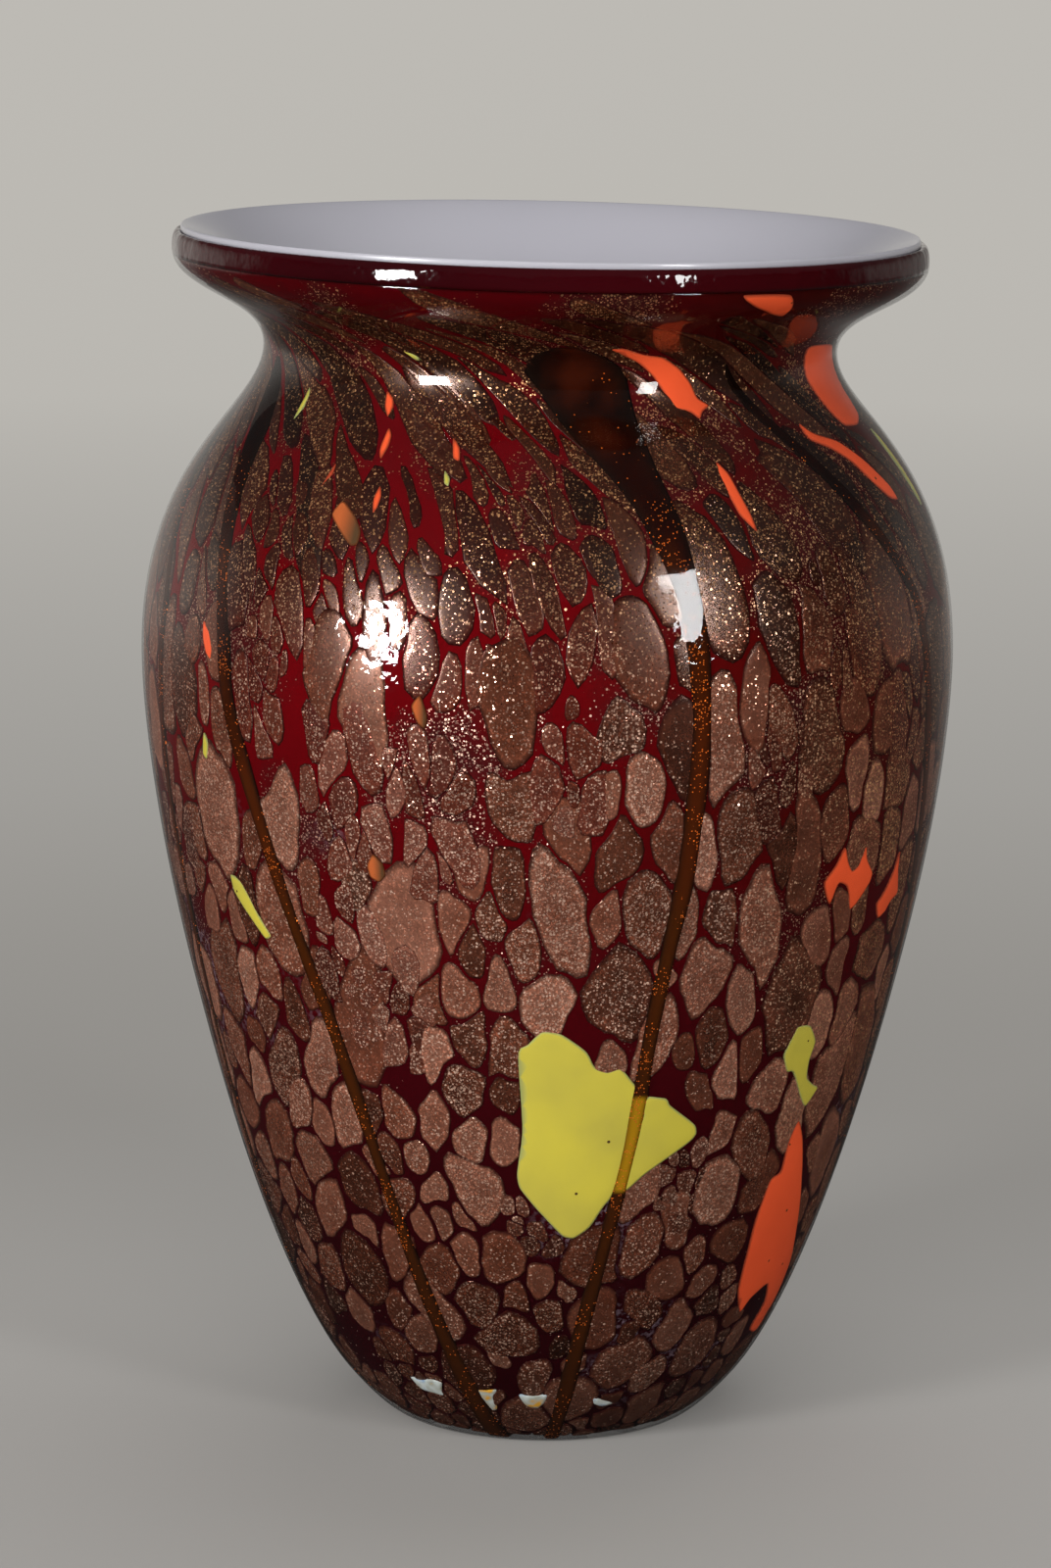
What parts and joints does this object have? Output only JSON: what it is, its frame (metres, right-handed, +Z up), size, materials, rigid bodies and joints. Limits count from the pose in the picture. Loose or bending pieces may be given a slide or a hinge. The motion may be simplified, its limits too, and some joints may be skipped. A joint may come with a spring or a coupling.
{
  "type": "glass vase",
  "caption": "Blown ovoid vase with a wide flared lip: opal lining, ruby casing, copper aventurine, dark trails and colour chips under clear glass.",
  "frame": {"origin": "on the vase's axis, in the plane of the flat foot that it stands on", "axes": "+Z up along the axis, -Y towards the side that the picture shows, +X to its right"},
  "size_m": [0.169, 0.169, 0.25],
  "materials": {
    "opal_glass": "opaque glossy opal",
    "ruby_glass": "deep transparent red, glossy",
    "aventurine_glass": "opaque copper brown with metallic flakes, glossy",
    "amber_glass": "dark transparent amber, glossy",
    "yellow_glass": "opaque yellow green, glossy",
    "orange_glass": "opaque orange, glossy",
    "clear_glass": "clear, glossy"
  },
  "bodies": {
    "root": {"aventurine_coat": "aventurine_glass", "crystal_casing": "clear_glass", "lip_wrap": "ruby_glass", "opal_liner": "opal_glass", "orange_chip_1": "orange_glass", "orange_chip_10": "orange_glass", "orange_chip_11": "orange_glass", "orange_chip_12": "orange_glass", "orange_chip_13": "orange_glass", "orange_chip_14": "orange_glass", "orange_chip_15": "orange_glass", "orange_chip_16": "orange_glass", "orange_chip_17": "orange_glass", "orange_chip_18": "orange_glass", "orange_chip_19": "orange_glass", "orange_chip_2": "orange_glass", "orange_chip_3": "orange_glass", "orange_chip_4": "orange_glass", "orange_chip_5": "orange_glass", "orange_chip_6": "orange_glass", "orange_chip_7": "orange_glass", "orange_chip_8": "orange_glass", "orange_chip_9": "orange_glass", "ruby_casing": "ruby_glass", "trail_1": "amber_glass", "trail_2": "amber_glass", "trail_3": "amber_glass", "trail_4": "amber_glass", "trail_5": "amber_glass", "trail_6": "amber_glass", "trail_7": "amber_glass", "yellow_chip_1": "yellow_glass", "yellow_chip_10": "yellow_glass", "yellow_chip_2": "yellow_glass", "yellow_chip_3": "yellow_glass", "yellow_chip_4": "yellow_glass", "yellow_chip_5": "yellow_glass", "yellow_chip_6": "yellow_glass", "yellow_chip_7": "yellow_glass", "yellow_chip_8": "yellow_glass", "yellow_chip_9": "yellow_glass"}
  },
  "joints": []
}
